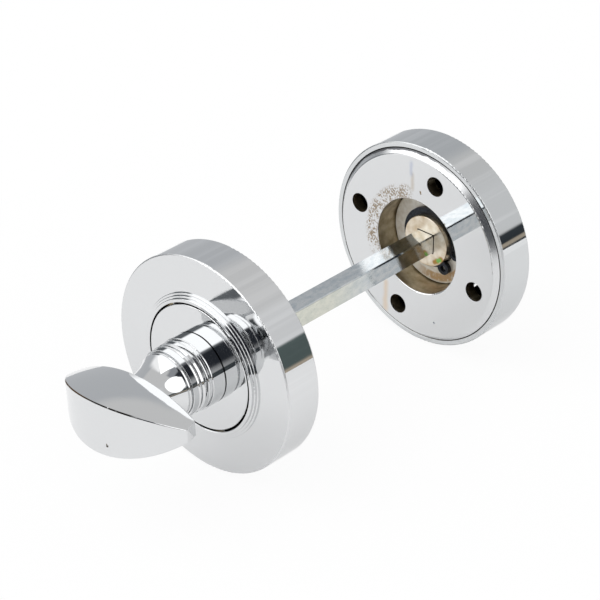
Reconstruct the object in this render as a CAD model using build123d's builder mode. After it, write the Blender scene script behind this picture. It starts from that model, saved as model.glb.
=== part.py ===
from build123d import *
import os
from math import cos, degrees, radians, sin, tan

# A privacy thumbturn set for a door: a half-moon turn in a round rose on one face of the door, a release in
# a second rose on the other face, and a square spindle that joins them.
#
# The spindle's axis is Y. The origin is on that axis, in the door face of the front rose. The turn stands
# towards -Y and the second rose towards +Y. A depth is counted from a rose's own door face, outwards.

# Space between the two roses' door faces
DOOR_GAP = 62.0

# Cover roses: a cup that is screwed over the fixing rose, with a stepped collar round its middle hole
COVER_DIAMETER = 53.0
COVER_DEPTH = 9.4
COVER_SKIRT = 1.5
COVER_FACE = 1.8
COVER_EDGE = 0.35
COVER_LEAD = 0.25
COLLAR_RISE = 1.3
COLLAR_LAND = 0.85
COLLAR_STEPS = 3
COLLAR_STEP = 0.55
COLLAR_EDGE = 0.15
COLLAR_GAP = 0.4

# Fixing roses: a plate with a hollow boss, screwed to the door
PLATE_PROUD = 1.1
PLATE_THICKNESS = 4.2
PLATE_BEVEL = 1.2
PLATE_ROUNDING = 0.5
THREAD_CLEARANCE = 0.05
BOSS_DIAMETER = 30.4
BOSS_EDGE = 0.2
RECESS_DIAMETER = 24.8
RECESS_EDGE = 0.3
BEARING_WALL = 4.6
SCREW_CIRCLE = 38.0
SCREW_COUNT = 4
SCREW_HOLE = 5.0
COUNTERSINK_DIAMETER = 7.2
COUNTERSINK_ANGLE = 90.0
SCREW_ANGLE = 73.6

# Shank of the turn and of the release, its retaining ring and washer
SHANK_DIAMETER = 13.2
SHANK_RECESS = 3.5
SHANK_EDGE = 0.2
RUNNING_CLEARANCE = 0.05
END_FLOAT = 0.2
RING_THICKNESS = 1.0
RING_HEEL = 2.0
RING_TOE = 1.0
RING_GROOVE = 0.4
RING_CLEARANCE = 0.05
RING_GAP = 3.0
LUG_DIAMETER = 3.4
LUG_HOLE = 1.7
FRONT_RING_ANGLE = 90.0
REAR_RING_ANGLE = -34.0
WASHER_THICKNESS = 0.8
WASHER_BORE_CLEARANCE = 0.3
WASHER_RIM_CLEARANCE = 0.12
WASHER_EDGE = 0.25

# Neck of the turn: a plain length, two rings and a bead between grooves, and a concave waist. The edges
# of the rings slope towards the grip.
NECK_DIAMETER = 17.3
NECK_PLAIN = 3.4
NECK_SLOPE = 24.0
NECK_SLOPE_LENGTH = 0.2
NARROW_GROOVE = 0.8
NARROW_GROOVE_DEPTH = 0.65
INNER_RING_STEP = 0.16
INNER_LIP_LENGTH = 0.25
INNER_RING_LENGTH = 1.15
INNER_SLOPE_LENGTH = 0.55
WIDE_GROOVE = 0.65
WIDE_GROOVE_DEPTH = 0.8
OUTER_RING_STEP = 0.12
OUTER_LIP_LENGTH = 0.45
OUTER_RING_LENGTH = 1.6
BEAD_GROOVE = 0.25
BEAD_GROOVE_DEPTH = 0.95
BEAD_STEP = 0.56
BEAD_LIP_LENGTH = 0.35
BEAD_LENGTH = 0.6
NECK_EDGE = 0.3
GROOVE_EDGE = 0.08
WAIST_DRAW = 2.15
WAIST_LENGTH = 6.9
WAIST_PLAIN = 0.55

# Half-moon grip: a circle segment with cut-off tips seen along Z, a blunt lens seen along Y, crowned
# from back to front
GRIP_LENGTH = 37.3
GRIP_DEPTH = 13.45
GRIP_THICKNESS = 14.0
GRIP_CROWN = 0.6
GRIP_TIP_THICKNESS = 3.4
GRIP_TIP_DEPTH = 3.6
GRIP_TIP_SWEEP = 1.2
GRIP_EDGE = 0.3
GRIP_TILT = 3.3
GRIP_ROOT = 3.0

# Square spindle and the sockets that hold it
SPINDLE_SIDE = 5.0
SPINDLE_EDGE = 0.3
SPINDLE_ENGAGEMENT = 4.0
TURN_SOCKET = 13.0
TURN_SOCKET_CLEARANCE = 0.02
RELEASE_SOCKET_CLEARANCE = 0.15

# Head of the release, with a slot for a coin
HEAD_DIAMETER = 17.3
HEAD_HEIGHT = 3.2
HEAD_EDGE = 0.8
COIN_SLOT_LENGTH = 13.0
COIN_SLOT_WIDTH = 2.2
COIN_SLOT_DEPTH = 1.6
SOCKET_FLOOR = 2.0

# Sizes that follow from the ones above
COVER_RADIUS = COVER_DIAMETER / 2
PLATE_RADIUS = COVER_RADIUS - COVER_SKIRT - THREAD_CLEARANCE
BOSS_RADIUS = BOSS_DIAMETER / 2
RECESS_RADIUS = RECESS_DIAMETER / 2
SHANK_RADIUS = SHANK_DIAMETER / 2
BORE_RADIUS = SHANK_RADIUS + RUNNING_CLEARANCE
GROOVE_RADIUS = SHANK_RADIUS - RING_GROOVE
NECK_RADIUS = NECK_DIAMETER / 2
INNER_LIP_RADIUS = NECK_RADIUS - INNER_RING_STEP
OUTER_LIP_RADIUS = INNER_LIP_RADIUS - OUTER_RING_STEP
BEAD_RADIUS = OUTER_LIP_RADIUS - BEAD_STEP
NECK_FALL = tan(radians(NECK_SLOPE))
WAIST_FOOT_RADIUS = BEAD_RADIUS - BEAD_LIP_LENGTH * NECK_FALL
WAIST_RADIUS = WAIST_FOOT_RADIUS - WAIST_DRAW

FACE_DEPTH = PLATE_PROUD + COVER_DEPTH
BOSS_DEPTH = FACE_DEPTH + COLLAR_RISE
RECESS_DEPTH = BOSS_DEPTH - BEARING_WALL
WASHER_DEPTH = RECESS_DEPTH - WASHER_THICKNESS
RING_OUTER_DEPTH = WASHER_DEPTH - END_FLOAT
RING_INNER_DEPTH = RING_OUTER_DEPTH - RING_THICKNESS
SHOULDER_DEPTH = BOSS_DEPTH + END_FLOAT
TURN_SOCKET_DEPTH = SHANK_RECESS + TURN_SOCKET
HEAD_DEPTH = SHOULDER_DEPTH + HEAD_HEIGHT
RELEASE_SOCKET_DEPTH = HEAD_DEPTH - COIN_SLOT_DEPTH - SOCKET_FLOOR

FRONT, REAR = -1, 1
DOOR_FACE = {FRONT: 0.0, REAR: DOOR_GAP}


def along(side, depth):
    """Y of a point at a depth in the rose on one side of the door."""
    return DOOR_FACE[side] + side * depth


def across(side, depth):
    """Plane square to the axis at a depth, facing away from the door."""
    return Plane(origin=(0, along(side, depth), 0), x_dir=(1, 0, 0), z_dir=(0, side, 0))


def turn_about_axis(side, angle):
    """Angle from +X towards +Z, as the plane on that side counts it."""
    return -side * angle


def shank_outline(side):
    """Outline of a shank from the axis to its shoulder, with the groove of its retaining ring."""
    corners = [
        (SHANK_RADIUS, SHANK_RECESS, SHANK_EDGE),
        (SHANK_RADIUS, RING_INNER_DEPTH, 0),
        (GROOVE_RADIUS, RING_INNER_DEPTH, 0),
        (GROOVE_RADIUS, RING_OUTER_DEPTH, 0),
        (SHANK_RADIUS, RING_OUTER_DEPTH, 0),
    ]
    return FilletPolyline(
        (0, along(side, SHANK_RECESS)),
        *[(radius, along(side, depth)) for radius, depth, _ in corners],
        (SHANK_RADIUS, along(side, SHOULDER_DEPTH)),
        radius=[rounding for _, _, rounding in corners],
    )


def build_cover(side):
    """Cover rose: skirt, flat face and stepped collar, turned about the axis."""
    hole = BOSS_RADIUS + COLLAR_GAP
    inside = COVER_RADIUS - COVER_SKIRT
    corners = [
        (inside, PLATE_PROUD + COVER_LEAD, 0),
        (inside + COVER_LEAD, PLATE_PROUD, 0),
        (COVER_RADIUS, PLATE_PROUD, COVER_EDGE),
        (COVER_RADIUS, FACE_DEPTH, COVER_EDGE),
    ]
    for step in range(COLLAR_STEPS):
        radius = hole + COLLAR_LAND + (COLLAR_STEPS - 1 - step) * COLLAR_STEP
        foot = FACE_DEPTH + step * COLLAR_RISE / COLLAR_STEPS
        corners.append((radius, foot, 0))
        corners.append((radius, foot + COLLAR_RISE / COLLAR_STEPS, COLLAR_EDGE))
    corners += [
        (hole, BOSS_DEPTH, COLLAR_EDGE),
        (hole, FACE_DEPTH - COVER_FACE, 0),
        (inside, FACE_DEPTH - COVER_FACE, 0),
    ]
    with BuildPart() as cover:
        with BuildSketch(Plane.XY):
            with BuildLine():
                FilletPolyline(
                    *[(radius, along(side, depth)) for radius, depth, _ in corners],
                    radius=[rounding for _, _, rounding in corners],
                    close=True,
                )
            make_face()
        revolve(axis=Axis.Y)
    return cover


def build_fixing_rose(side):
    """Fixing rose: bevelled plate with countersunk screw holes, hollow boss and bearing wall."""
    corners = [
        (BORE_RADIUS, RECESS_DEPTH, 0),
        (RECESS_RADIUS, RECESS_DEPTH, 0),
        (RECESS_RADIUS, 0, RECESS_EDGE),
        (PLATE_RADIUS - PLATE_BEVEL, 0, PLATE_ROUNDING),
        (PLATE_RADIUS, PLATE_PROUD, 0),
        (PLATE_RADIUS, PLATE_THICKNESS, 0),
        (BOSS_RADIUS, PLATE_THICKNESS, 0),
        (BOSS_RADIUS, BOSS_DEPTH, BOSS_EDGE),
        (BORE_RADIUS, BOSS_DEPTH, 0),
    ]
    with BuildPart() as rose:
        with BuildSketch(Plane.XY):
            with BuildLine():
                FilletPolyline(
                    *[(radius, along(side, depth)) for radius, depth, _ in corners],
                    radius=[rounding for _, _, rounding in corners],
                    close=True,
                )
            make_face()
        revolve(axis=Axis.Y)
        with Locations(across(side, PLATE_THICKNESS)):
            with PolarLocations(SCREW_CIRCLE / 2, SCREW_COUNT, turn_about_axis(side, SCREW_ANGLE)):
                CounterSinkHole(
                    SCREW_HOLE / 2,
                    COUNTERSINK_DIAMETER / 2,
                    PLATE_THICKNESS,
                    COUNTERSINK_ANGLE,
                )
    return rose


def build_washer(side):
    """Flat washer at the bottom of the recess, between the bearing wall and the retaining ring."""
    with BuildPart() as washer:
        with BuildSketch(across(side, WASHER_DEPTH)):
            Circle(RECESS_RADIUS - WASHER_RIM_CLEARANCE)
            Circle(SHANK_RADIUS + WASHER_BORE_CLEARANCE, mode=Mode.SUBTRACT)
        extrude(amount=WASHER_THICKNESS)
        chamfer(washer.edges().filter_by(GeomType.CIRCLE), WASHER_EDGE)
    return washer


def build_retaining_ring(side, ring_angle):
    """External retaining ring: an eccentric open ring with two lugs and their plier holes."""
    inner = GROOVE_RADIUS + RING_CLEARANCE
    outer = inner + (RING_HEEL + RING_TOE) / 2
    lug_circle = inner + LUG_DIAMETER / 2
    opening = turn_about_axis(side, ring_angle)
    lug_spread = degrees((RING_GAP + LUG_DIAMETER) / lug_circle)
    with BuildPart() as ring:
        with BuildSketch(across(side, RING_INNER_DEPTH)):
            with PolarLocations((RING_TOE - RING_HEEL) / 2, 1, opening):
                Circle(outer)
            with PolarLocations(lug_circle, 2, opening - lug_spread / 2, 2 * lug_spread):
                Circle(LUG_DIAMETER / 2)
            Circle(inner, mode=Mode.SUBTRACT)
            with PolarLocations(lug_circle, 1, opening):
                Rectangle(2 * LUG_DIAMETER, RING_GAP, mode=Mode.SUBTRACT)
            with PolarLocations(lug_circle, 2, opening - lug_spread / 2, 2 * lug_spread):
                Circle(LUG_HOLE / 2, mode=Mode.SUBTRACT)
        extrude(amount=RING_THICKNESS)
    return ring


os.makedirs("parts", exist_ok=True)

# Front rose
front_cover_rose = build_cover(FRONT)
front_cover_rose.part.label = "front_cover_rose"
export_step(front_cover_rose.part, "parts/front_cover_rose.step")

front_fixing_rose = build_fixing_rose(FRONT)
front_fixing_rose.part.label = "front_fixing_rose"
export_step(front_fixing_rose.part, "parts/front_fixing_rose.step")

front_washer = build_washer(FRONT)
front_washer.part.label = "front_washer"
export_step(front_washer.part, "parts/front_washer.step")

front_circlip = build_retaining_ring(FRONT, FRONT_RING_ANGLE)
front_circlip.part.label = "front_circlip"
export_step(front_circlip.part, "parts/front_circlip.step")

# Turn: grip first, then the neck and shank on it, then the socket
# Steps along the neck: length, radius at its end, radius the next step starts from, rounding of both
inner_ring = INNER_LIP_RADIUS - INNER_LIP_LENGTH * NECK_FALL
outer_ring = OUTER_LIP_RADIUS - OUTER_LIP_LENGTH * NECK_FALL
narrow_floor = NECK_RADIUS - NARROW_GROOVE_DEPTH
wide_floor = INNER_LIP_RADIUS - WIDE_GROOVE_DEPTH
bead_floor = OUTER_LIP_RADIUS - BEAD_GROOVE_DEPTH
neck_steps = [
    (NECK_PLAIN, NECK_RADIUS, None, NECK_EDGE),
    (NECK_SLOPE_LENGTH, NECK_RADIUS - NECK_SLOPE_LENGTH * NECK_FALL, narrow_floor, GROOVE_EDGE),
    (NARROW_GROOVE, narrow_floor, INNER_LIP_RADIUS, GROOVE_EDGE),
    (INNER_LIP_LENGTH, inner_ring, None, NECK_EDGE),
    (INNER_RING_LENGTH, inner_ring, None, NECK_EDGE),
    (INNER_SLOPE_LENGTH, inner_ring - INNER_SLOPE_LENGTH * NECK_FALL, wide_floor, GROOVE_EDGE),
    (WIDE_GROOVE, wide_floor, OUTER_LIP_RADIUS, GROOVE_EDGE),
    (OUTER_LIP_LENGTH, outer_ring, None, NECK_EDGE),
    (OUTER_RING_LENGTH, outer_ring, bead_floor, GROOVE_EDGE),
    (BEAD_GROOVE, bead_floor, BEAD_RADIUS, GROOVE_EDGE),
    (BEAD_LIP_LENGTH, WAIST_FOOT_RADIUS, None, NECK_EDGE),
]
neck_corners = [(NECK_RADIUS, SHOULDER_DEPTH, 0)]
depth = SHOULDER_DEPTH
for length, end_radius, next_radius, rounding in neck_steps:
    depth += length
    neck_corners.append((end_radius, depth, rounding))
    if next_radius:
        neck_corners.append((next_radius, depth, rounding))
depth += BEAD_LENGTH
waist_start = (WAIST_FOOT_RADIUS, along(FRONT, depth))
waist_end = (WAIST_RADIUS, along(FRONT, depth + WAIST_LENGTH))
grip_back_depth = depth + WAIST_LENGTH + WAIST_PLAIN
neck_root = along(FRONT, grip_back_depth + GRIP_ROOT)

tilt_x = (cos(radians(GRIP_TILT)), 0, sin(radians(GRIP_TILT)))
tilt_z = (-sin(radians(GRIP_TILT)), 0, cos(radians(GRIP_TILT)))
grip_back = Plane(origin=(0, along(FRONT, grip_back_depth), 0), x_dir=tilt_x, z_dir=(0, FRONT, 0))
grip_plan = Plane(origin=(0, along(FRONT, grip_back_depth), 0), x_dir=tilt_x, z_dir=tilt_z)


def blunt_lens(plane, drop):
    """Lens of two arcs with cut-off tips on a plane, thinner by a drop on both sides."""
    tip = GRIP_LENGTH / 2
    edge = GRIP_TIP_THICKNESS / 2 - drop
    crown = GRIP_THICKNESS / 2 - drop
    with BuildSketch(plane) as lens:
        with BuildLine():
            top = ThreePointArc((-tip, edge), (0, crown), (tip, edge))
            bottom = ThreePointArc((tip, -edge), (0, -crown), (-tip, -edge))
            Line(top @ 1, bottom @ 0)
            Line(bottom @ 1, top @ 0)
        make_face()
    return lens.sketch.face()


with BuildPart() as turn:
    # Lens along the whole depth, thickest in the middle
    back_lens = blunt_lens(grip_back, GRIP_CROWN)
    middle_lens = blunt_lens(grip_back.offset(GRIP_DEPTH / 2), 0)
    front_lens = blunt_lens(grip_back.offset(GRIP_DEPTH), GRIP_CROWN)
    loft([back_lens, middle_lens, front_lens])
    # Round front of the half moon and its swept tips
    with BuildSketch(grip_plan):
        with BuildLine():
            front = ThreePointArc(
                (-GRIP_LENGTH / 2, -GRIP_TIP_DEPTH),
                (0, -GRIP_DEPTH),
                (GRIP_LENGTH / 2, -GRIP_TIP_DEPTH),
            )
            back_tip = GRIP_LENGTH / 2 - GRIP_TIP_SWEEP
            Polyline(front @ 1, (back_tip, 0), (-back_tip, 0), front @ 0)
        make_face()
    extrude(amount=GRIP_THICKNESS, both=True, mode=Mode.INTERSECT)
    fillet(turn.edges(), GRIP_EDGE)
    # Neck and shank
    with BuildSketch(Plane.XY):
        with BuildLine():
            shank = shank_outline(FRONT)
            FilletPolyline(
                shank @ 1,
                *[(radius, along(FRONT, d)) for radius, d, _ in neck_corners],
                waist_start,
                radius=[rounding for _, _, rounding in neck_corners],
            )
            TangentArc(waist_end, waist_start, tangent=(0, 1))
            Polyline(waist_end, (WAIST_RADIUS, neck_root), (0, neck_root), shank @ 0)
        make_face()
    revolve(axis=Axis.Y)
    # Socket for the spindle
    with BuildSketch(across(FRONT, SHANK_RECESS)):
        Rectangle(*[SPINDLE_SIDE + 2 * TURN_SOCKET_CLEARANCE] * 2)
    extrude(amount=TURN_SOCKET, mode=Mode.SUBTRACT)
turn.part.label = "turn"
export_step(turn.part, "parts/turn.step")

# Spindle, from the bottom of the turn's socket into the release
spindle_start = along(FRONT, TURN_SOCKET_DEPTH)
spindle_end = along(REAR, SHANK_RECESS + SPINDLE_ENGAGEMENT)
with BuildPart() as spindle:
    with BuildSketch(across(FRONT, TURN_SOCKET_DEPTH)):
        Rectangle(SPINDLE_SIDE, SPINDLE_SIDE)
    extrude(amount=spindle_start - spindle_end)
    chamfer(spindle.edges().filter_by(Axis.Y), SPINDLE_EDGE)
spindle.part.label = "spindle"
export_step(spindle.part, "parts/spindle.step")

# Rear rose
rear_cover_rose = build_cover(REAR)
rear_cover_rose.part.label = "rear_cover_rose"
export_step(rear_cover_rose.part, "parts/rear_cover_rose.step")

rear_fixing_rose = build_fixing_rose(REAR)
rear_fixing_rose.part.label = "rear_fixing_rose"
export_step(rear_fixing_rose.part, "parts/rear_fixing_rose.step")

rear_washer = build_washer(REAR)
rear_washer.part.label = "rear_washer"
export_step(rear_washer.part, "parts/rear_washer.step")

rear_circlip = build_retaining_ring(REAR, REAR_RING_ANGLE)
rear_circlip.part.label = "rear_circlip"
export_step(rear_circlip.part, "parts/rear_circlip.step")

# Release: shank and slotted head, with a blind socket for the spindle
with BuildPart() as release:
    with BuildSketch(Plane.XY):
        with BuildLine():
            stem = shank_outline(REAR)
            FilletPolyline(
                stem @ 1,
                (HEAD_DIAMETER / 2, along(REAR, SHOULDER_DEPTH)),
                (HEAD_DIAMETER / 2, along(REAR, HEAD_DEPTH)),
                (0, along(REAR, HEAD_DEPTH)),
                radius=[0, HEAD_EDGE],
            )
            Line((0, along(REAR, HEAD_DEPTH)), stem @ 0)
        make_face()
    revolve(axis=Axis.Y)
    with BuildSketch(across(REAR, HEAD_DEPTH)):
        SlotOverall(COIN_SLOT_LENGTH, COIN_SLOT_WIDTH)
    extrude(amount=-COIN_SLOT_DEPTH, mode=Mode.SUBTRACT)
    with BuildSketch(across(REAR, SHANK_RECESS)):
        Rectangle(*[SPINDLE_SIDE + 2 * RELEASE_SOCKET_CLEARANCE] * 2)
    extrude(amount=RELEASE_SOCKET_DEPTH - SHANK_RECESS, mode=Mode.SUBTRACT)
release.part.label = "release"
export_step(release.part, "parts/release.step")
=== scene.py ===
"""Looks and studio of a chrome thumbturn and release set on round roses.

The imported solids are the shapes. This script gives each of them its finish, sets the camera to the
photograph's viewing angle and builds the studio that the polished metal mirrors. Sizes are in
millimetres unless a name says otherwise, about the spindle's axis, which is the row's Y axis.
"""

import logging
import math
from dataclasses import dataclass, replace
from enum import Enum

import bpy
from mathutils import Matrix, Vector

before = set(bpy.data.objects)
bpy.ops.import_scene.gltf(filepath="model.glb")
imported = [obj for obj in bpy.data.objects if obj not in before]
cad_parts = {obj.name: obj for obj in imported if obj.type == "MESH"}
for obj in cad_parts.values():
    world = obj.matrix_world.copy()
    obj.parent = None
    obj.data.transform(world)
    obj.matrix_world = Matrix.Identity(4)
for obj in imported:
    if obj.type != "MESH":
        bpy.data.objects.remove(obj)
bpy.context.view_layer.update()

LOG = logging.getLogger("thumbturn")
MM_PER_M = 1000.0
WHITE = "#FFFFFF"
# Limit that nothing here reaches, for a mask that is open at one end
OPEN_END = 1000.0
# Places of the Mix node's sockets: two values, two colours and the mixed colour
VALUE_A, VALUE_B = 2, 3
COLOUR_A, COLOUR_B = 6, 7
COLOUR_OUT = 2

Colour = tuple[float, float, float, float]
Pair = tuple[float, float]
Triple = tuple[float, float, float]
Tree = bpy.types.NodeTree
Node = bpy.types.Node
Socket = bpy.types.NodeSocket


class Side(Enum):
    """Sides of the door, by the sense of Y in which depth into the rose is counted."""

    FRONT = -1.0
    REAR = 1.0


class Detail(Enum):
    """How many layers a noise has, each finer than the last."""

    SMOOTH = 1.0
    SOFT = 2.0
    CLOUDY = 3.0
    GRAINY = 4.0
    FINE = 5.0


def linear(code: str, strength: float = 1.0) -> Colour:
    """Turns an sRGB hex colour into linear values.

    Args:
        code: Six hex digits after a hash sign.
        strength: Factor on the linear values, for light.

    Returns:
        Linear red, green, blue and an alpha of 1.
    """
    parts = [int(code[i : i + 2], 16) / 255 for i in (1, 3, 5)]
    flat = [c / 12.92 if c <= 0.04045 else ((c + 0.055) / 1.055) ** 2.4 for c in parts]
    return (flat[0] * strength, flat[1] * strength, flat[2] * strength, 1.0)


def add(
    tree: Tree,
    kind: str,
    inputs: dict[str | int, object] | None = None,
    stops: tuple[tuple[float, str], ...] = (),
    **settings: object,
) -> Node:
    """Adds a node with its settings and links.

    Args:
        tree: The node tree that gets the node.
        kind: The node's type name, without its leading part.
        inputs: Values or sockets, by input name or place.
        stops: Places and hex colours of a colour ramp.
        settings: The node's own properties.

    Returns:
        The new node.
    """
    node = tree.nodes.new("ShaderNode" + kind)
    for name, value in settings.items():
        setattr(node, name, value)
    for key, value in (inputs or {}).items():
        if isinstance(value, Socket):
            tree.links.new(value, node.inputs[key])
        else:
            node.inputs[key].default_value = value
    if stops:
        ramp = node.color_ramp.elements
        while len(ramp) < len(stops):
            ramp.new(1.0)
        for element, (place, code) in zip(ramp, stops):
            element.position = place
            element.color = linear(code)
    return node


def product(tree: Tree, *values: Socket | float) -> Socket:
    """Multiplies masks, so that all of them have to hold.

    Args:
        tree: The node tree that gets the nodes.
        values: The masks or plain factors.

    Returns:
        The product.
    """
    result = values[0]
    for value in values[1:]:
        result = add(tree, "Math", {0: result, 1: value}, operation="MULTIPLY").outputs[0]
    return result


def window(tree: Tree, value: Socket, low: float, high: float, soft: float) -> Socket:
    """Masks the span of a value between two limits, with soft edges.

    Args:
        tree: The node tree that gets the nodes.
        value: The value to test.
        low: Lower limit.
        high: Upper limit.
        soft: Width of each edge.

    Returns:
        A socket that is 1 inside the span and 0 outside it.
    """
    half = soft / 2
    rise = {"Value": value, "From Min": low - half, "From Max": low + half}
    fall = {"Value": value, "From Min": high - half, "From Max": high + half, "To Min": 1.0, "To Max": 0.0}
    ends = [add(tree, "MapRange", span, interpolation_type="SMOOTHSTEP") for span in (rise, fall)]
    return product(tree, *(end.outputs[0] for end in ends))


@dataclass(frozen=True)
class Place:
    """Sockets that give a point of a piece, in millimetres about the spindle's axis."""

    tree: Tree
    vector: Socket
    x: Socket
    y: Socket
    z: Socket
    radius: Socket
    swing: Socket

    @classmethod
    def on(cls, tree: Tree) -> "Place":
        """Builds the sockets in a material's tree.

        Args:
            tree: The material's tree.

        Returns:
            The sockets, with the swing counted in degrees up from the −X side.
        """
        metres = add(tree, "TexCoord").outputs["Object"]
        vector = add(tree, "VectorMath", {0: metres, "Scale": MM_PER_M}, operation="SCALE").outputs[0]
        parts = add(tree, "SeparateXYZ", {0: vector}).outputs
        flat = add(tree, "VectorMath", {0: vector, 1: (1.0, 0.0, 1.0)}, operation="MULTIPLY").outputs[0]
        radius = add(tree, "VectorMath", {0: flat}, operation="LENGTH").outputs["Value"]
        left = product(tree, parts[0], -1.0)
        arc = add(tree, "Math", {0: parts[2], 1: left}, operation="ARCTAN2").outputs[0]
        swing = add(tree, "Math", {0: arc}, operation="DEGREES").outputs[0]
        return cls(tree, vector, parts[0], parts[1], parts[2], radius, swing)

    def facing(self) -> tuple[Socket, Socket, Socket]:
        """Gives the parts of the surface's own normal along X, Y and Z."""
        parts = add(self.tree, "SeparateXYZ", {0: add(self.tree, "TexCoord").outputs["Normal"]}).outputs
        return parts[0], parts[1], parts[2]

    def noise(self, size: float, detail: Detail = Detail.SOFT, stretch: Triple = (1.0, 1.0, 1.0)) -> Socket:
        """Gives cloudy noise.

        Args:
            size: Size of its clouds, in millimetres.
            detail: How many finer layers it has.
            stretch: How much longer the clouds are along each axis.

        Returns:
            A value about 0.5.
        """
        scale = tuple(1 / (size * part) for part in stretch)
        shaped = add(self.tree, "VectorMath", {0: self.vector, 1: scale}, operation="MULTIPLY").outputs[0]
        inputs = {"Vector": shaped, "Scale": 1.0, "Detail": detail.value}
        return add(self.tree, "TexNoise", inputs).outputs[0]

    def patches(self, size: float, detail: Detail, level: float, fade: float) -> Socket:
        """Masks the patches in which a noise rises above a level.

        Args:
            size: Size of the noise's clouds, in millimetres.
            detail: How many finer layers it has.
            level: The level, which is lower for more patches.
            fade: Width of the patches' edge, as a span of the noise.

        Returns:
            A socket that is 1 in the patches.
        """
        return window(self.tree, self.noise(size, detail), level, OPEN_END, fade)

    def clouds(
        self,
        size: float,
        detail: Detail,
        levels: Pair,
        colours: tuple[str, str],
        stretch: Triple = (1.0, 1.0, 1.0),
    ) -> tuple[Socket, Socket]:
        """Gives cloudy noise and a colour that goes with it.

        Args:
            size: Size of the noise's clouds, in millimetres.
            detail: How many finer layers it has.
            levels: Values of the noise at the first and the second colour.
            colours: The two colours.
            stretch: How much longer the clouds are along each axis.

        Returns:
            The noise and its colour.
        """
        cloud = self.noise(size, detail, stretch)
        tone = add(self.tree, "ValToRGB", {0: cloud}, stops=tuple(zip(levels, colours)))
        return cloud, tone.outputs[0]


@dataclass
class Coat:
    """Colour, roughness and relief of a surface while its layers are laid on."""

    tree: Tree
    colour: Socket | Colour
    rough: Socket | float
    relief: Socket | float = 0.0

    def lay(self, share: Socket, colour: Socket | Colour, rough: Socket | float) -> None:
        """Lays a layer over the coat.

        Args:
            share: How much of the layer shows.
            colour: Its colour.
            rough: Its roughness.
        """
        colours = {0: share, COLOUR_A: self.colour, COLOUR_B: colour}
        self.colour = add(self.tree, "Mix", colours, data_type="RGBA").outputs[COLOUR_OUT]
        values = {0: share, VALUE_A: self.rough, VALUE_B: rough}
        self.rough = add(self.tree, "Mix", values).outputs[0]

    def carve(self, height: Socket, depth: float) -> None:
        """Adds relief.

        Args:
            height: The relief's shape, from 0 to 1.
            depth: Its height in millimetres.
        """
        inputs = {0: height, 1: depth, 2: self.relief}
        self.relief = add(self.tree, "Math", inputs, operation="MULTIPLY_ADD").outputs[0]

    def close(self, shader: Node, metallic: float) -> None:
        """Links the coat to its shader.

        Args:
            shader: The principled shader.
            metallic: How metallic the surface is.
        """
        inputs = {"Height": self.relief, "Strength": 1.0, "Distance": 1 / MM_PER_M}
        normal = add(self.tree, "Bump", inputs).outputs[0]
        shader.inputs["Metallic"].default_value = metallic
        for name, value in (("Base Color", self.colour), ("Roughness", self.rough), ("Normal", normal)):
            if isinstance(value, Socket):
                self.tree.links.new(value, shader.inputs[name])
            else:
                shader.inputs[name].default_value = value


def new_material(name: str) -> tuple[bpy.types.Material, Place, Node]:
    """Makes an empty material with one principled shader.

    Args:
        name: The finish's own name.

    Returns:
        The material, the point of the piece in its tree, and its shader.
    """
    material = bpy.data.materials.new(name)
    material.use_nodes = True
    tree = material.node_tree
    tree.nodes.clear()
    shader = add(tree, "BsdfPrincipled")
    add(tree, "OutputMaterial", {"Surface": shader.outputs[0]})
    return material, Place.on(tree), shader


@dataclass(frozen=True)
class Spot:
    """A small round flaw: its middle, radius, colour and depth."""

    middle: Triple
    radius: float
    colour: str
    depth: float = 0.0

    def lay(self, place: Place, coat: Coat, roughness: float) -> None:
        """Lays the flaw.

        Args:
            place: The point of the piece.
            coat: The piece's coat.
            roughness: How rough the flaw is.
        """
        inputs = {0: place.vector, 1: self.middle}
        gap = add(place.tree, "VectorMath", inputs, operation="DISTANCE").outputs["Value"]
        mark = window(place.tree, gap, -OPEN_END, self.radius, self.radius)
        coat.lay(mark, linear(self.colour), roughness)
        coat.carve(mark, -self.depth)


@dataclass(frozen=True)
class BareCasting:
    """Zinc casting that no buffing wheel reached: matt and cloudy, within a stretch of Y and a radius."""

    span: Pair
    radius: float = 30.0
    colours: tuple[str, str] = ("#C6B498", "#E8DFD0")
    levels: Pair = (0.3, 0.7)
    cloud_size: float = 2.2
    edge: float = 0.05
    roughness: float = 0.3

    def lay(self, place: Place, coat: Coat) -> None:
        """Lays the casting.

        Args:
            place: The point of the piece.
            coat: The plate's coat.
        """
        _, tone = place.clouds(self.cloud_size, Detail.CLOUDY, self.levels, self.colours)
        along = window(place.tree, place.y, *self.span, self.edge)
        within = window(place.tree, place.radius, -OPEN_END, self.radius, self.edge)
        coat.lay(product(place.tree, along, within), tone, self.roughness)


@dataclass(frozen=True)
class CoverInsideShade(BareCasting):
    """Inside of a cover: dull, as plating reaches it but no buffing wheel does, and painted dark as shade
    inside the hollow.
    """

    radius: float = 25.2
    # Dark colours painted as the shade inside the cover's hollow.
    colours: tuple[str, str] = ("#4A4845", "#65625D")


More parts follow.
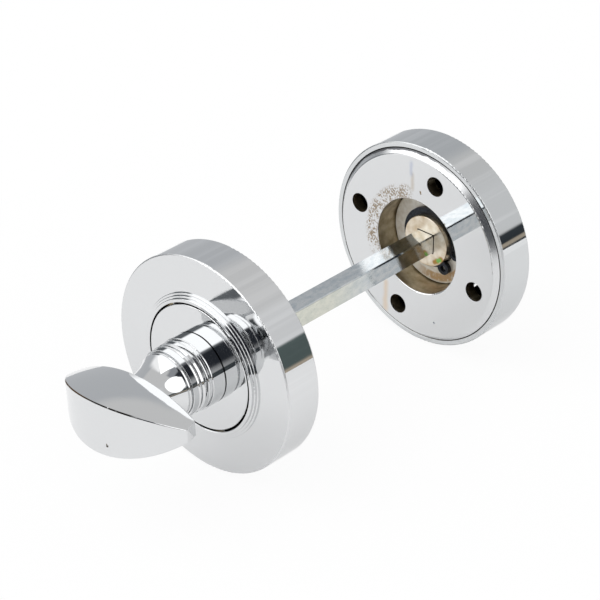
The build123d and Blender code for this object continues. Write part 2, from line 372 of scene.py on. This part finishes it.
@dataclass(frozen=True)
class EdgeDarkLine:
    """Dark line along the edge between the grip's upper side and its round front.

    The slants are limits on the surface's own normal, which pick out the edge's rounding.
    """

    reach: Pair = (-14.0, 10.5)
    reach_fade: float = 3.0
    front_y: float = -32.0
    front_fade: float = 1.0
    slant_up: Pair = (0.2, 0.93)
    slant_ahead: Pair = (-0.97, -0.25)
    slant_fade: float = 0.1
    patch_size: float = 2.5
    patch_level: float = 0.36
    patch_fade: float = 0.1
    dark: str = "#15120F"
    brown: str = "#5B4630"
    brown_x: float = -3.0
    brown_fade: float = 8.0
    roughness: float = 0.5

    def lay(self, place: Place, coat: Coat) -> None:
        """Lays the line, brown on the grip's left part and dark on the rest.

        Args:
            place: The point of the piece.
            coat: The plate's coat.
        """
        tree = place.tree
        _, ahead, up = place.facing()
        # A dark line painted along the edge, brown on the grip's left part.
        share = product(
            tree,
            window(tree, up, *self.slant_up, self.slant_fade),
            window(tree, ahead, *self.slant_ahead, self.slant_fade),
            window(tree, place.x, *self.reach, self.reach_fade),
            window(tree, place.y, -OPEN_END, self.front_y, self.front_fade),
            place.patches(self.patch_size, Detail.CLOUDY, self.patch_level, self.patch_fade),
        )
        left = window(tree, place.x, -OPEN_END, self.brown_x, self.brown_fade)
        tones = {0: left, COLOUR_A: linear(self.dark), COLOUR_B: linear(self.brown)}
        tone = add(tree, "Mix", tones, data_type="RGBA").outputs[COLOUR_OUT]
        coat.lay(share, tone, self.roughness)


@dataclass(frozen=True)
class PolishedChrome:
    """Chromium plate on a buffed zinc casting.

    The eye gets a mirror with sharp reflections, which waver a little where the buffing wheel rode,
    and a trace of haze that breaks the highlights. A rose's skirt has streaks along its axis in its relief,
    with pale streaks of painted sheen on the upper half, and its edges are rubbed matt.
    """

    name: str = "polished_chrome_plate"
    colour: str = "#D9DADB"
    metallic: float = 1.0
    roughness: float = 0.025
    haze: float = 0.05
    haze_size: float = 3.0
    haze_levels: Pair = (0.35, 0.75)
    ripple_size: float = 9.0
    ripple_height: float = 0.004
    skirt_radius: float = 26.5
    skirt_margin: float = 0.1
    streak_size: float = 2.6
    streak_stretch: Triple = (1.0, 60.0, 1.0)
    streak_height: float = 0.012
    sheen_streak_colour: str = "#F2F3F4"
    sheen_streak_share: float = 0.4
    sheen_streak_level: float = 0.56
    sheen_streak_fade: float = 0.24
    sheen_streak_z: Pair = (5.0, 30.0)
    sheen_streak_z_fade: float = 14.0
    edge: float = 0.36
    edge_fade: float = 0.02
    edge_slant: Pair = (0.06, 0.97)
    edge_slant_fade: float = 0.04
    edge_roughness: float = 0.3
    bare: BareCasting | None = None
    dark_line: EdgeDarkLine | None = None
    flaws: tuple[Spot, ...] = ()
    flaw_roughness: float = 0.5

    def coat(self, place: Place) -> Coat:
        """Lays the plate, with its haze and ripple and what a rose's skirt and edges show.

        Args:
            place: The point of the piece.

        Returns:
            The plate's coat.
        """
        low, high = self.haze_levels
        haze = {"Value": place.noise(self.haze_size, Detail.GRAINY), "From Min": low, "From Max": high}
        haze |= {"To Min": self.roughness, "To Max": self.roughness + self.haze}
        coat = Coat(place.tree, linear(self.colour), add(place.tree, "MapRange", haze).outputs[0])
        coat.carve(place.noise(self.ripple_size, Detail.SMOOTH), self.ripple_height)
        self.streak(place, coat)
        self.soften(place, coat)
        return coat

    def streak(self, place: Place, coat: Coat) -> None:
        """Lays the buffing streaks along a rose's skirt: relief all round, and a painted pale sheen on
        their crests on the upper half.

        Args:
            place: The point of the piece.
            coat: The plate's coat.
        """
        tree = place.tree
        start = self.skirt_radius - self.skirt_margin
        skirt = window(tree, place.radius, start, OPEN_END, self.skirt_margin)
        streaks = place.noise(self.streak_size, Detail.CLOUDY, self.streak_stretch)
        coat.carve(product(tree, streaks, skirt), self.streak_height)
        # Pale colour on the streaks' crests over the upper half is painted sheen.
        upper = window(tree, place.z, *self.sheen_streak_z, self.sheen_streak_z_fade)
        crest = window(tree, streaks, self.sheen_streak_level, OPEN_END, self.sheen_streak_fade)
        painted_sheen = product(tree, crest, skirt, upper, self.sheen_streak_share)
        coat.lay(painted_sheen, linear(self.sheen_streak_colour), self.roughness)

    def soften(self, place: Place, coat: Coat) -> None:
        """Lays the matt rounding of a rose's edges, found by the slant of the surface.

        Args:
            place: The point of the piece.
            coat: The plate's coat.
        """
        tree = place.tree
        slant = add(tree, "Math", {0: place.facing()[1]}, operation="ABSOLUTE").outputs[0]
        outer = window(tree, place.radius, self.skirt_radius - self.edge, OPEN_END, self.edge_fade)
        rim = product(tree, outer, window(tree, slant, *self.edge_slant, self.edge_slant_fade))
        coat.lay(rim, linear(self.colour), self.edge_roughness)

    def material(self) -> bpy.types.Material:
        """Builds the material, with any bare casting, dark edge line and flaws."""
        material, place, shader = new_material(self.name)
        coat = self.coat(place)
        for layer in (self.bare, self.dark_line):
            if layer:
                layer.lay(place, coat)
        for flaw in self.flaws:
            flaw.lay(place, coat, self.flaw_roughness)
        coat.close(shader, self.metallic)
        return material


@dataclass(frozen=True)
class Streak:
    """A run-down stain on a rose's face: its left side, width, ends, colour and strength."""

    x: float
    width: float
    ends: Pair
    colour: str
    share: float
    drift_size: float = 4.0
    end_fade: float = 1.5
    roughness: float = 0.12

    def lay(self, place: Place, coat: Coat, face: Socket) -> None:
        """Lays the stain.

        Args:
            place: The point of the piece.
            coat: The plate's coat.
            face: Mask of the rose's face.
        """
        tree = place.tree
        inputs = {0: place.noise(self.drift_size), 1: self.width, 2: place.x}
        drift = add(tree, "Math", inputs, operation="MULTIPLY_ADD").outputs[0]
        across = window(tree, drift, self.x, self.x + self.width, self.width)
        along = window(tree, place.z, *self.ends, self.end_fade)
        coat.lay(product(tree, across, along, face, self.share), linear(self.colour), self.roughness)


@dataclass(frozen=True)
class Corrosion:
    """Brown specks that came through the plate, in a broken arc round the bore.

    The specks are drawn 0.42 mm wide, about the finest that the render shows.
    """

    colour: str = "#8E7B61"
    radii: Pair = (12.5, 15.9)
    radius_fade: float = 1.4
    swing: Pair = (-24.0, 80.0)
    swing_fade: float = 14.0
    speck_size: float = 0.42
    speck_level: float = 0.5
    speck_fade: float = 0.1
    patch_size: float = 1.7
    patch_level: float = 0.42
    patch_fade: float = 0.14
    share: float = 0.85
    roughness: float = 0.45

    def lay(self, place: Place, coat: Coat, face: Socket) -> None:
        """Lays the specks.

        Args:
            place: The point of the piece.
            coat: The plate's coat.
            face: Mask of the rose's face.
        """
        tree = place.tree
        share = product(
            tree,
            window(tree, place.radius, *self.radii, self.radius_fade),
            window(tree, place.swing, *self.swing, self.swing_fade),
            place.patches(self.speck_size, Detail.GRAINY, self.speck_level, self.speck_fade),
            place.patches(self.patch_size, Detail.CLOUDY, self.patch_level, self.patch_fade),
            face,
            self.share,
        )
        coat.lay(share, linear(self.colour), self.roughness)


@dataclass(frozen=True)
class RimScuffAndGapShade:
    """Scuffed bevel of a rose's plate, and painted shade of the gap between plate and cover along the upper
    part of its rim.
    """

    radius: float = 25.0
    bevel: float = 1.3
    bevel_fade: float = 0.3
    bevel_share: float = 0.8
    bevel_roughness: float = 0.3
    gap_shade_colour: str = "#33343A"
    gap_shade_size: float = 2.2
    gap_shade_wander: float = 1.0
    gap_shade_margin: float = 0.1
    gap_shade_fade: float = 0.25
    gap_shade_swing: Pair = (-10.0, 110.0)
    gap_shade_swing_fade: float = 40.0
    gap_shade_share: float = 0.85
    gap_shade_roughness: float = 0.45

    def lay(self, place: Place, coat: Coat, plate_colour: str) -> None:
        """Lays the scuffs and the painted shade of the gap.

        Args:
            place: The point of the piece.
            coat: The plate's coat.
            plate_colour: The plate's own colour.
        """
        tree = place.tree
        scuffed = window(tree, place.radius, self.radius - self.bevel, OPEN_END, self.bevel_fade)
        coat.lay(product(tree, scuffed, self.bevel_share), linear(plate_colour), self.bevel_roughness)
        # Dark band on the rim's upper part: painted shade of the gap between plate and cover.
        inputs = {0: place.noise(self.gap_shade_size, Detail.FINE), 1: self.gap_shade_wander, 2: place.radius}
        wander = add(tree, "Math", inputs, operation="MULTIPLY_ADD").outputs[0]
        gap_shade = window(tree, wander, self.radius + self.gap_shade_margin, OPEN_END, self.gap_shade_fade)
        upper = window(tree, place.swing, *self.gap_shade_swing, self.gap_shade_swing_fade)
        share = product(tree, gap_shade, upper, self.gap_shade_share)
        coat.lay(share, linear(self.gap_shade_colour), self.gap_shade_roughness)


@dataclass(frozen=True)
class RoseWearAndGapShade:
    """What years on a door left on a rose's face: stains, corrosion, rim wear and specks, with painted
    shade in the gap along the upper rim.
    """

    streaks: tuple[Streak, ...]
    specks: tuple[Spot, ...]
    corrosion: Corrosion = Corrosion()
    rim: RimScuffAndGapShade = RimScuffAndGapShade()
    speck_roughness: float = 0.4

    def lay(self, place: Place, coat: Coat, face: Socket, plate_colour: str) -> None:
        """Lays the wear and the painted shade.

        Args:
            place: The point of the piece.
            coat: The plate's coat.
            face: Mask of the rose's face.
            plate_colour: The plate's own colour.
        """
        for stain in (*self.streaks, self.corrosion):
            stain.lay(place, coat, face)
        self.rim.lay(place, coat, plate_colour)
        for speck in self.specks:
            speck.lay(place, coat, self.speck_roughness)


@dataclass(frozen=True)
class CastRose:
    """Die-cast fixing rose, plated on its face and left as cast inside.

    The eye gets a hazy chrome face, and dull olive-brown casting with tool lines in the recess and
    the screw holes.
    """

    side: Side
    door_y: float
    plate: PolishedChrome
    wear_and_shade: RoseWearAndGapShade | None = None
    name: str = "cast_rose_chrome_plate"
    metallic: float = 1.0
    face_depth: float = 0.3
    raw_depths: Pair = (0.25, 9.0)
    depth_fade: float = 0.1
    recess_radius: float = 12.4
    recess_margin: float = 0.12
    recess_fade: float = 0.05
    hole_count: int = 4
    hole_circle: float = 38.0
    hole_angle: float = 73.6
    countersink_radius: float = 3.6
    countersink_margin: float = 0.15
    countersink_fade: float = 0.1
    raw_colours: tuple[str, str] = ("#8F8268", "#CBBEA4")
    raw_levels: Pair = (0.3, 0.7)
    raw_size: float = 2.4
    raw_roughness: float = 0.36
    tool_pitch: float = 0.45
    tool_stretch: Triple = (40.0, 1.0, 40.0)
    tool_depth: float = 0.01

    def inward(self, place: Place) -> Socket:
        """Gives the depth of a point below the rose's door face."""
        depth = add(place.tree, "Math", {0: place.y, 1: self.door_y}, operation="SUBTRACT").outputs[0]
        return product(place.tree, depth, self.side.value)

    def holes(self, place: Place) -> Socket:
        """Masks the screw holes and their countersinks, whatever the depth.

        Args:
            place: The point of the piece.

        Returns:
            A socket that is 1 within a countersink's radius of a hole's axis.
        """
        tree = place.tree
        half_step = 180.0 / self.hole_count
        ends = {1: self.hole_angle + half_step, 2: self.hole_angle - half_step}
        folded = {0: product(tree, place.swing, -1.0)} | ends
        nearest = add(tree, "Math", folded, operation="WRAP").outputs[0]
        off = add(tree, "Math", {0: nearest, 1: self.hole_angle}, operation="SUBTRACT").outputs[0]
        angle = add(tree, "Math", {0: off}, operation="RADIANS").outputs[0]
        along = product(tree, place.radius, add(tree, "Math", {0: angle}, operation="COSINE").outputs[0])
        aside = product(tree, place.radius, add(tree, "Math", {0: angle}, operation="SINE").outputs[0])
        beyond = add(tree, "Math", {0: along, 1: self.hole_circle / 2}, operation="SUBTRACT").outputs[0]
        corner = add(tree, "CombineXYZ", {0: beyond, 1: aside}).outputs[0]
        gap = add(tree, "VectorMath", {0: corner}, operation="LENGTH").outputs["Value"]
        reach = self.countersink_radius + self.countersink_margin
        return window(tree, gap, -OPEN_END, reach, self.countersink_fade)

    def raw_mask(self, place: Place, depth: Socket) -> Socket:
        """Masks the recess and the screw holes, below the plated face.

        Args:
            place: The point of the piece.
            depth: Its depth below the door face.

        Returns:
            A socket that is 1 on the bare casting.
        """
        tree = place.tree
        below = window(tree, depth, *self.raw_depths, self.depth_fade)
        reach = self.recess_radius + self.recess_margin
        recess = window(tree, place.radius, -OPEN_END, reach, self.recess_fade)
        either = add(tree, "Math", {0: recess, 1: self.holes(place)}, operation="MAXIMUM").outputs[0]
        return product(tree, either, below)

    def material(self) -> bpy.types.Material:
        """Builds the material."""
        material, place, shader = new_material(self.name)
        coat = self.plate.coat(place)
        depth = self.inward(place)
        if self.wear_and_shade:
            face = window(place.tree, depth, -OPEN_END, self.face_depth, self.depth_fade)
            self.wear_and_shade.lay(place, coat, face, self.plate.colour)
        raw = self.raw_mask(place, depth)
        _, cast = place.clouds(self.raw_size, Detail.FINE, self.raw_levels, self.raw_colours)
        coat.lay(raw, cast, self.raw_roughness)
        lines = place.noise(self.tool_pitch, Detail.SOFT, self.tool_stretch)
        coat.carve(product(place.tree, lines, raw), self.tool_depth)
        coat.close(shader, self.metallic)
        return material


@dataclass(frozen=True)
class ZincPlatedSteel:
    """Bright zinc on drawn steel bar, passivated.

    The eye gets a soft mirror with fine mottling, a few dark pinholes and a yellow-green cast on one
    flat. The real grain is finer than a pixel, and is drawn 0.35 mm wide so that it shows.
    """

    name: str = "zinc_plated_steel"
    colours: tuple[str, str] = ("#C2C9CD", "#D6D9DA")
    colour_levels: Pair = (0.36, 0.6)
    metallic: float = 1.0
    roughness: float = 0.06
    mottle: float = 0.09
    mottle_levels: Pair = (0.3, 0.7)
    mottle_size: float = 1.4
    mottle_stretch: Triple = (1.0, 1.6, 1.0)
    flat: float = 2.5
    flat_margin: float = 0.1
    tint: str = "#D2CEAE"
    tint_span: Pair = (6.0, 36.0)
    tint_fade: float = 18.0
    tint_share: float = 0.4
    grain_size: float = 0.35
    grain_height: float = 0.004
    pinhole: str = "#5F676B"
    pinhole_level: float = 0.68
    pinhole_fade: float = 0.08
    pinhole_share: float = 0.6
    pinhole_roughness: float = 0.4

    def material(self) -> bpy.types.Material:
        """Builds the material."""
        material, place, shader = new_material(self.name)
        tree = place.tree
        cloud, tone = place.clouds(
            self.mottle_size,
            Detail.FINE,
            self.colour_levels,
            self.colours,
            self.mottle_stretch,
        )
        low, high = self.mottle_levels
        span = {"Value": cloud, "From Min": low, "From Max": high}
        span |= {"To Min": self.roughness, "To Max": self.roughness + self.mottle}
        coat = Coat(tree, tone, add(tree, "MapRange", span).outputs[0])
        on_flat = window(tree, place.x, self.flat - self.flat_margin, OPEN_END, self.flat_margin)
        along = window(tree, place.y, *self.tint_span, self.tint_fade)
        yellow = product(tree, on_flat, along, self.tint_share)
        coat.lay(yellow, linear(self.tint), self.roughness + self.mottle / 2)
        grain = place.noise(self.grain_size, Detail.CLOUDY)
        holes = window(tree, grain, self.pinhole_level, OPEN_END, self.pinhole_fade)
        coat.lay(product(tree, holes, self.pinhole_share), linear(self.pinhole), self.pinhole_roughness)
        coat.carve(grain, self.grain_height)
        coat.close(shader, self.metallic)
        return material


@dataclass(frozen=True)
class BlackenedSpringSteel:
    """Phosphated spring steel: slate black with a fine grainy sheen and paler rubbed patches."""

    name: str = "blackened_spring_steel"
    colours: tuple[str, str] = ("#1B1E23", "#3B4048")
    colour_levels: Pair = (0.35, 0.75)
    metallic: float = 0.8
    roughness: Pair = (0.26, 0.46)
    grain_size: float = 0.6
    grain_height: float = 0.01

    def material(self) -> bpy.types.Material:
        """Builds the material."""
        material, place, shader = new_material(self.name)
        grain, tone = place.clouds(self.grain_size, Detail.GRAINY, self.colour_levels, self.colours)
        low, high = self.roughness
        span = {"Value": grain, "To Min": low, "To Max": high}
        coat = Coat(place.tree, tone, add(place.tree, "MapRange", span).outputs[0])
        coat.carve(grain, self.grain_height)
        coat.close(shader, self.metallic)
        return material


@dataclass(frozen=True)
class BrightWasherSteel:
    """Stamped and tumbled steel: pale and matt, with rust creeping round its lower outer part."""

    name: str = "bright_washer_steel"
    colours: tuple[str, str] = ("#E6E0D5", "#F6F3EC")
    colour_levels: Pair = (0.35, 0.6)
    metallic: float = 0.25
    roughness: float = 0.42
    cloud_size: float = 1.4
    cloud_height: float = 0.004
    rust: str = "#C39C66"
    rust_radii: Pair = (9.6, 11.7)
    rust_radius_fade: float = 0.6
    rust_swing: Pair = (-175.0, -75.0)
    rust_swing_fade: float = 30.0
    rust_size: float = 1.2
    rust_level: float = 0.4
    rust_fade: float = 0.2
    rust_share: float = 0.85
    rust_roughness: float = 0.45

    def material(self) -> bpy.types.Material:
        """Builds the material."""
        material, place, shader = new_material(self.name)
        tree = place.tree
        cloud, tone = place.clouds(self.cloud_size, Detail.GRAINY, self.colour_levels, self.colours)
        coat = Coat(tree, tone, self.roughness)
        rust = product(
            tree,
            window(tree, place.radius, *self.rust_radii, self.rust_radius_fade),
            window(tree, place.swing, *self.rust_swing, self.rust_swing_fade),
            place.patches(self.rust_size, Detail.GRAINY, self.rust_level, self.rust_fade),
            self.rust_share,
        )
        coat.lay(rust, linear(self.rust), self.rust_roughness)
        coat.carve(cloud, self.cloud_height)
        coat.close(shader, self.metallic)
        return material


def dress(node: str, material: bpy.types.Material) -> None:
    """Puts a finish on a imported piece.

    Args:
        node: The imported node's name.
        material: The finish.
    """
    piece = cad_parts[node]
    piece.data.materials.clear()
    piece.data.materials.append(material)
    LOG.info("%s: %s", node, material.name)


@dataclass
class FrontRose:
    """Cover, fixing rose and washer on the turn's side of the door."""

    chrome: PolishedChrome
    steel: BrightWasherSteel
    door_y: float = 0.0
    shaded_hollow: CoverInsideShade = CoverInsideShade((-8.75, -1.0))

    def build(self) -> None:
        """Dresses the pieces, with the cover's inside left dull and painted dark as shade."""
        dress("front_cover_rose", replace(self.chrome, bare=self.shaded_hollow).material())
        dress("front_fixing_rose", CastRose(Side.FRONT, self.door_y, self.chrome).material())
        dress("front_washer", self.steel.material())


@dataclass
class Turn:
    """Half-moon turn with its spindle and retaining ring."""

    chrome: PolishedChrome
    spring: BlackenedSpringSteel
    zinc: ZincPlatedSteel
    shank: BareCasting = BareCasting((-10.4, 1.0))
    edge: EdgeDarkLine = EdgeDarkLine()
    pits: tuple[Spot, ...] = (
        Spot((3.87, -42.8, -3.43), 0.3, "#5A544B", 0.12),
        Spot((3.70, -42.8, -3.05), 0.2, "#8C877F", 0.05),
    )

    def build(self) -> None:
        """Dresses the pieces."""
        chrome = replace(self.chrome, bare=self.shank, dark_line=self.edge, flaws=self.pits)
        dress("turn", chrome.material())
        dress("spindle", self.zinc.material())
        dress("front_circlip", self.spring.material())


@dataclass
class RearRose:
    """Cover, fixing rose and washer on the other side of the door."""

    chrome: PolishedChrome
    darker_chrome: PolishedChrome
    steel: BrightWasherSteel
    door_y: float = 62.0
    shaded_hollow: CoverInsideShade = CoverInsideShade((63.0, 70.75))
    wear_and_shade: RoseWearAndGapShade = RoseWearAndGapShade(
        streaks=(
            Streak(-9.4, 1.3, (-22.0, -13.0), "#D8BE9C", 0.55),
            Streak(-1.6, 0.9, (14.8, 19.5), "#B3A38C", 0.45),
            Streak(-2.0, 0.9, (18.5, 22.4), "#A6B0C8", 0.5),
        ),
        specks=(
            Spot((0.9, 62.0, 15.2), 0.28, "#8A7A62"),
            Spot((1.0, 62.0, 14.8), 0.22, "#8A7A62"),
            Spot((6.3, 62.0, -19.0), 0.3, "#9AA0A6"),
            Spot((8.6, 62.0, 9.4), 0.25, "#A5A296"),
        ),
    )

    def build(self) -> None:
        """Dresses the pieces, with the cover's inside left dull and painted dark as shade."""
        dress("rear_cover_rose", replace(self.darker_chrome, bare=self.shaded_hollow).material())
        dress("rear_fixing_rose", CastRose(Side.REAR, self.door_y, self.chrome, self.wear_and_shade).material())
        dress("rear_washer", self.steel.material())


@dataclass
class Release:
    """Coin release of the second rose, with its retaining ring."""

    chrome: PolishedChrome
    spring: BlackenedSpringSteel
    shank: BareCasting = BareCasting((60.0, 72.4))
    marks: tuple[Spot, ...] = (
        Spot((3.0, 65.5, -4.7), 0.6, "#B08A55"),
        Spot((3.7, 65.5, -4.2), 0.7, "#B58A4A"),
        Spot((5.0, 65.5, -3.2), 0.7, "#B58A4A"),
        Spot((4.1, 65.5, -3.9), 0.55, "#86BC66"),
        Spot((4.7, 65.5, -3.45), 0.5, "#86BC66"),
    )

    def build(self) -> None:
        """Dresses the pieces."""
        dress("release", replace(self.chrome, bare=self.shank, flaws=self.marks).material())
        dress("rear_circlip", self.spring.material())


@dataclass(frozen=True)
class Panel:
    """One field of the studio, in degrees to the left of straight behind the set and degrees up."""

    left: Pair
    up: Pair
    brightness: float
    colour: str = WHITE
    soft: float = 3.0


@dataclass
class Studio:
    """Camera, floor and the light that the metal mirrors."""

    eye: Triple = (301.889, -298.834, 267.413)
    right: Triple = (0.72898, 0.68453, -0.00415)
    down: Triple = (0.35010, -0.37804, -0.85704)
    lens: float = 134.16
    sensor: float = 36.0
    clip_m: Pair = (0.01, 20.0)
    behind: float = 135.0
    floor_z: float = -26.5
    floor_edge: tuple[Pair, ...] = (
        (-130.0, -700.0),
        (230.0, -700.0),
        (230.0, 30.0),
        (700.0, 250.0),
        (700.0, 330.0),
        (-130.0, 330.0),
    )
    floor_colour: str = "#FAFAFA"
    floor_share_seen: float = 0.93
    floor_share_mirrored: float = 0.3
    # Painted pool of light: the floor as the metal sees it glows brighter near a middle point.
    floor_light_pool: Pair = (1.22, 1.04)
    light_pool_middle: Pair = (-30.0, -75.0)
    light_pool_reach: float = 260.0
    surround: float = 0.7
    lamp: Pair = (-150.5, 29.0)
    lamp_half: Pair = (18.5, 28.0)
    lamp_soft: float = 0.08
    lamp_brightness: float = 1.8
    panels: tuple[Panel, ...] = (
        # Grey wall behind the set and paler wall on its right
        Panel((-30, 58), (-60, 44), 0.585, "#F8FBFF", 10),
        Panel((-120, -57), (5, 42), 0.78, "#FDFEFF", 14),
        # Dark of the room, low on the right
        Panel((-178, -93), (-12, 5), 0.10, "#E8F8FF"),
        Panel((-110, -93.5), (-12, 17), 0.13, "#DDF8F6", 2.5),
        Panel((-93.5, -62), (-12, 6.5), 0.05, "#DDF0FF"),
        # Bright strip on the left, between two dim fields
        Panel((50, 85), (-20, 20), 0.2, "#F0F8FF", 6),
        Panel((85, 107), (-20, 20), 1.2, WHITE, 8),
        Panel((107, 152), (-20, 16), 0.1, "#F0F8FF", 6),
        # Dim ceiling and dark room on the camera's side, which the count of degrees splits in two
        Panel((150, 200), (48, 70), 0.36, "#F4F8FF", 10),
        Panel((-200, -160), (48, 70), 0.36, "#F4F8FF", 10),
        Panel((151, 200), (-12, 51), 0.045, "#DCE8FF", 5),
        Panel((-200, -172), (-12, 51), 0.045, "#DCE8FF", 5),
        # Large soft lamp above on the left, with its spill
        Panel((36, 70), (26, 80), 1.2, WHITE, 16),
        Panel((57, 150), (17, 97), 2.0, WHITE, 10),
        # Warm line of the table's edge on the right
        Panel((-170, -62), (-4.0, -1.2), 0.45, "#FFEFD8", 1.5),
    )

    def camera(self) -> None:
        """Sets the camera to the photograph's viewing angle."""
        data = bpy.data.cameras.new("camera")
        data.lens = self.lens
        data.sensor_width = self.sensor
        data.clip_start, data.clip_end = self.clip_m
        right = Vector(self.right).normalized()
        up = -Vector(self.down).normalized()
        back = right.cross(up)
        turn = Matrix((right, up, back)).transposed().to_4x4()
        camera = bpy.data.objects.new("camera", data)
        camera.matrix_world = Matrix.Translation(Vector(self.eye) / MM_PER_M) @ turn
        bpy.context.scene.collection.objects.link(camera)
        bpy.context.scene.camera = camera

    def floor(self) -> None:
        """Lays the white sheet under the roses' rims."""
        corners = [Vector((x, y, self.floor_z)) / MM_PER_M for x, y in self.floor_edge]
        mesh = bpy.data.meshes.new("floor")
        mesh.from_pydata(corners, [], [range(len(corners))])
        floor = bpy.data.objects.new("floor", mesh)
        bpy.context.scene.collection.objects.link(floor)
        mesh.materials.append(self.paper())

    def paper(self) -> bpy.types.Material:
        """Makes the floor's white paper: plain to the camera, bright in the metal with a painted pool of
        light that fades from a middle point, and with a soft shadow.
        """
        material = bpy.data.materials.new("white_paper")
        material.use_nodes = True
        tree = material.node_tree
        tree.nodes.clear()
        path = add(tree, "LightPath").outputs
        rays = {0: path["Is Glossy Ray"], 1: path["Is Transmission Ray"]}
        mirrored = add(tree, "Math", rays, operation="MAXIMUM").outputs[0]
        some = product(tree, mirrored, self.floor_share_mirrored)
        shares = {0: path["Is Camera Ray"], 1: self.floor_share_seen, 2: some}
        share = add(tree, "Math", shares, operation="MULTIPLY_ADD").outputs[0]
        # Painted pool of light, brightest at its middle and fading out to its reach.
        middle = Vector((*self.light_pool_middle, self.floor_z)) / MM_PER_M
        place = add(tree, "TexCoord").outputs["Object"]
        gap = add(tree, "VectorMath", {0: place, 1: middle}, operation="DISTANCE").outputs["Value"]
        near, far = self.floor_light_pool
        fall = {"Value": gap, "From Max": self.light_pool_reach / MM_PER_M, "To Min": near, "To Max": far}
        light_pool = add(tree, "MapRange", fall, interpolation_type="SMOOTHSTEP").outputs[0]
        strengths = {0: path["Is Camera Ray"], VALUE_A: light_pool, VALUE_B: 1.0}
        strength = add(tree, "Mix", strengths).outputs[0]
        sheet = add(tree, "BsdfDiffuse", {"Color": linear(self.floor_colour)}).outputs[0]
        white = add(tree, "Emission", {"Color": linear(WHITE), "Strength": strength}).outputs[0]
        mix = add(tree, "MixShader", {0: share, 1: sheet, 2: white}).outputs[0]
        add(tree, "OutputMaterial", {"Surface": mix})
        return material

    def surroundings(self) -> None:
        """Paints the studio on the world: paper walls, lamps and the dark of the room between them."""
        world = bpy.data.worlds.new("studio")
        world.use_nodes = True
        bpy.context.scene.world = world
        tree = world.node_tree
        tree.nodes.clear()
        way = add(tree, "TexCoord").outputs["Generated"]
        axis = {"Vector": way, "Rotation": (0.0, 0.0, -math.radians(self.behind))}
        parts = add(tree, "SeparateXYZ", {0: add(tree, "Mapping", axis).outputs[0]}).outputs
        heading = add(tree, "Math", {0: parts[1], 1: parts[0]}, operation="ARCTAN2").outputs[0]
        pitch = add(tree, "Math", {0: parts[2]}, operation="ARCSINE").outputs[0]
        left, up = (add(tree, "Math", {0: arc}, operation="DEGREES").outputs[0] for arc in (heading, pitch))
        light: Socket | Colour = linear(WHITE, self.surround)
        for panel in self.panels:
            across = window(tree, left, *panel.left, panel.soft)
            share = product(tree, across, window(tree, up, *panel.up, panel.soft))
            shade = linear(panel.colour, panel.brightness)
            inputs = {0: share, COLOUR_A: light, COLOUR_B: shade}
            light = add(tree, "Mix", inputs, data_type="RGBA").outputs[COLOUR_OUT]
        narrowing = add(tree, "Math", {0: pitch}, operation="COSINE").outputs[0]
        disc = self.lamp_disc(tree, left, up, narrowing)
        inputs = {0: disc, COLOUR_A: light, COLOUR_B: linear(WHITE, self.lamp_brightness)}
        light = add(tree, "Mix", inputs, data_type="RGBA").outputs[COLOUR_OUT]
        seen = add(tree, "LightPath").outputs["Is Camera Ray"]
        inputs = {0: seen, COLOUR_A: light, COLOUR_B: linear(WHITE)}
        colour = add(tree, "Mix", inputs, data_type="RGBA").outputs[COLOUR_OUT]
        ground = add(tree, "Background", {"Color": colour, "Strength": 1.0}).outputs[0]
        add(tree, "OutputWorld", {"Surface": ground})

    def lamp_disc(self, tree: Tree, left: Socket, up: Socket, narrowing: Socket) -> Socket:
        """Masks the round lamp that shows on the neck and the grip.

        Args:
            tree: The world's tree.
            left: Degrees to the left of straight behind the set.
            up: Degrees up.
            narrowing: How much shorter a degree to the left is at that height.

        Returns:
            A socket that is 1 on the lamp.
        """
        aside = add(tree, "Math", {0: left, 1: self.lamp[0]}, operation="SUBTRACT").outputs[0]
        above = add(tree, "Math", {0: up, 1: self.lamp[1]}, operation="SUBTRACT").outputs[0]
        centred = add(tree, "CombineXYZ", {0: product(tree, aside, narrowing), 1: above}).outputs[0]
        halves = {0: centred, 1: (*self.lamp_half, 1.0)}
        scaled = add(tree, "VectorMath", halves, operation="DIVIDE").outputs[0]
        gap = add(tree, "VectorMath", {0: scaled}, operation="LENGTH").outputs["Value"]
        return window(tree, gap, -OPEN_END, 1.0, self.lamp_soft)

    def build(self) -> None:
        """Builds the studio."""
        self.camera()
        self.floor()
        self.surroundings()
        bpy.context.scene.view_settings.view_transform = "Standard"


def main() -> None:
    """Dresses the set, piece by piece, and builds the studio."""
    logging.basicConfig(level=logging.INFO)
    chrome = PolishedChrome()
    # Slightly darker and rougher copy of the chrome, for the rear cover.
    darker_chrome = replace(chrome, colour="#D2D4D5", roughness=0.03)
    spring = BlackenedSpringSteel()
    steel = BrightWasherSteel()
    FrontRose(chrome, steel).build()
    Turn(chrome, spring, ZincPlatedSteel()).build()
    RearRose(chrome, darker_chrome, steel).build()
    Release(chrome, spring).build()
    Studio().build()


if __name__ == "__main__":
    main()
